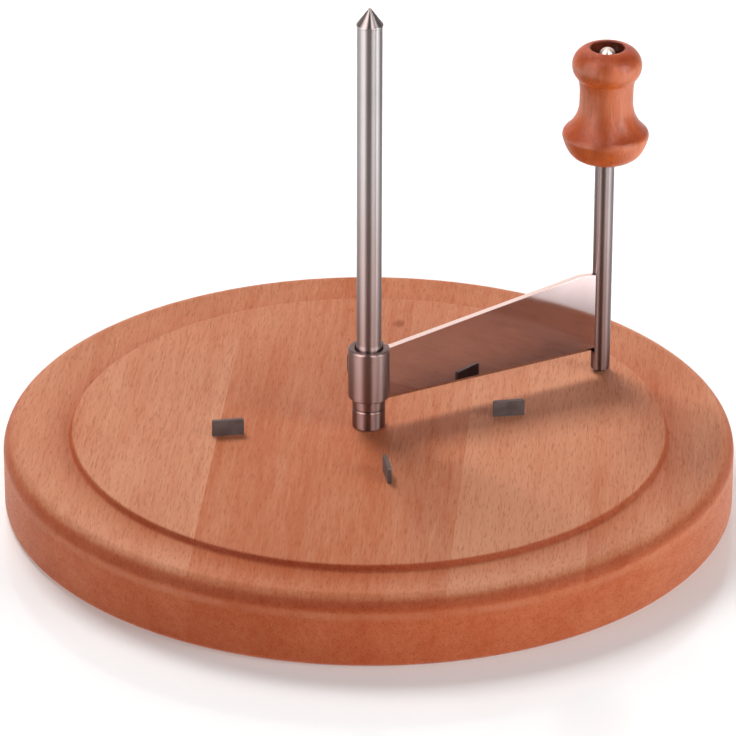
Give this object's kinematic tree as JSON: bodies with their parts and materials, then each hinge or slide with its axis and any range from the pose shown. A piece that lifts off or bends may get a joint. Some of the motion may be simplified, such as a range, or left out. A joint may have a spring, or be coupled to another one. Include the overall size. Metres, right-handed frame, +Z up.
{
  "type": "cheese curler",
  "caption": "Round wooden cheese board with a pointed steel spindle, holding prongs and a scraper blade that is cranked round by a turned wooden knob.",
  "frame": {"origin": "centre of the board's underside, on the spindle's axis", "axes": "+Z up along the spindle; +X from the spindle to the crank rod at rest; +Y completes the right-handed frame"},
  "size_m": [0.22, 0.22, 0.1577],
  "materials": {
    "oiled_beech_board": "reddish oiled beech, satin, fine flecks along the grain",
    "oiled_beech_knob": "reddish oiled beech, turned, satin sheen",
    "polished_blade_steel": "stainless steel, mirror polished faces and a ground bevel",
    "ground_steel": "stainless steel, finely ground round the axis",
    "dull_prong_steel": "dark dull steel plate",
    "plated_fixings": "zinc plated, satin"
  },
  "bodies": {
    "base": {"board": "oiled_beech_board", "holding_prong_1": "dull_prong_steel", "holding_prong_2": "dull_prong_steel", "holding_prong_3": "dull_prong_steel", "holding_prong_4": "dull_prong_steel", "spindle": "ground_steel", "spindle_point": "ground_steel", "spindle_collar": "ground_steel", "anchor_washer": "plated_fixings", "anchor_spring_washer": "plated_fixings", "anchor_screw": "plated_fixings"},
    "turning_ring": {"bearing_ring": "ground_steel"},
    "scraper": {"blade_hub": "ground_steel", "scraper_blade": "polished_blade_steel", "crank_rod": "ground_steel", "knob_washer": "plated_fixings", "knob_retaining_ring": "plated_fixings"},
    "handle": {"knob": "oiled_beech_knob"}
  },
  "joints": [
    {"name": "scraper_spin", "type": "hinge", "parent": "base", "child": "turning_ring", "pos_m": [0, 0, 0.0286], "axis": [0, 0, 1], "continuous": true},
    {"name": "scraper_lift", "type": "slide", "parent": "turning_ring", "child": "scraper", "axis": [0, 0, 1], "range_m": [0, 0.13]},
    {"name": "knob_spin", "type": "hinge", "parent": "scraper", "child": "handle", "pos_m": [0.0806, 0, 0.11], "axis": [0, 0, 1], "continuous": true}
  ]
}
